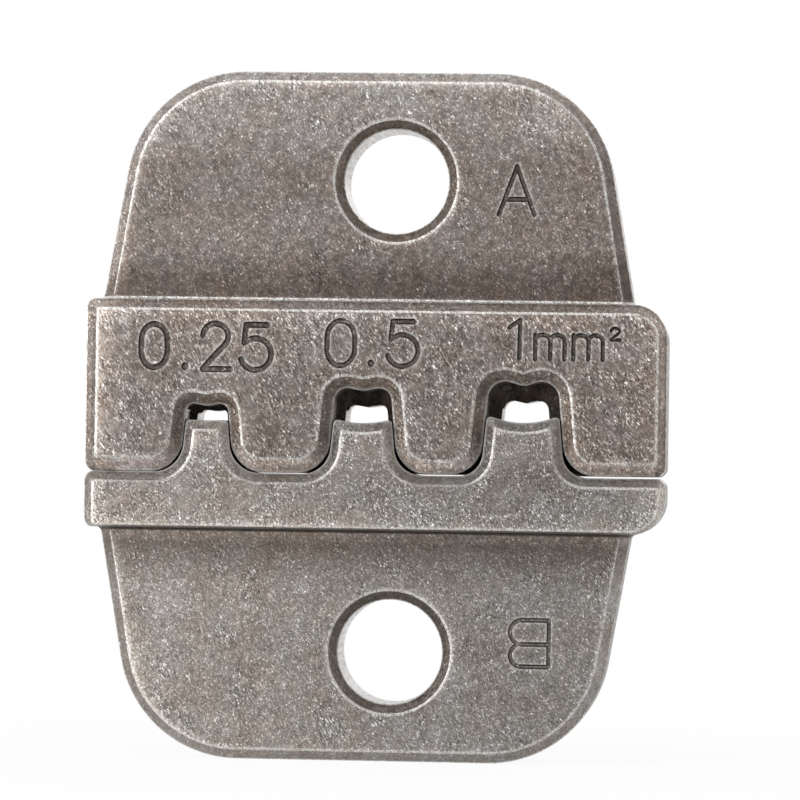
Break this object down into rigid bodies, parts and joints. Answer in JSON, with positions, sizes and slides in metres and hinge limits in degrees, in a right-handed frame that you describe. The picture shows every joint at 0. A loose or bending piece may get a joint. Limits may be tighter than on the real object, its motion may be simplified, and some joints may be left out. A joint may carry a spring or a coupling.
{
  "type": "crimp die",
  "caption": "Split steel crimp die: a half with stepped nests meets a half with punches to fold open-barrel wire terminals, and each half has a tang with a screw hole.",
  "frame": {"origin": "middle of the crimp bars' width and thickness, level with the end of the lower tang", "axes": "+X along the crimp bars towards the largest nest, +Y from the insulation side to the conductor side, +Z from the lower half to the upper one, which is also the way it opens"},
  "size_m": [0.025, 0.0056, 0.0296],
  "materials": {
    "punch_steel": "sintered steel with a fine bright grain, unpolished, neutral grey",
    "nest_steel": "sintered steel with a fine bright grain, unpolished, a little warmer and darker"
  },
  "bodies": {
    "lower half": {"punch_die": "punch_steel"},
    "upper half": {"nest_die": "nest_steel"}
  },
  "joints": [
    {"name": "opening", "type": "slide", "parent": "lower half", "child": "upper half", "axis": [0, 0, 1], "range_m": [0, 0.009]}
  ]
}
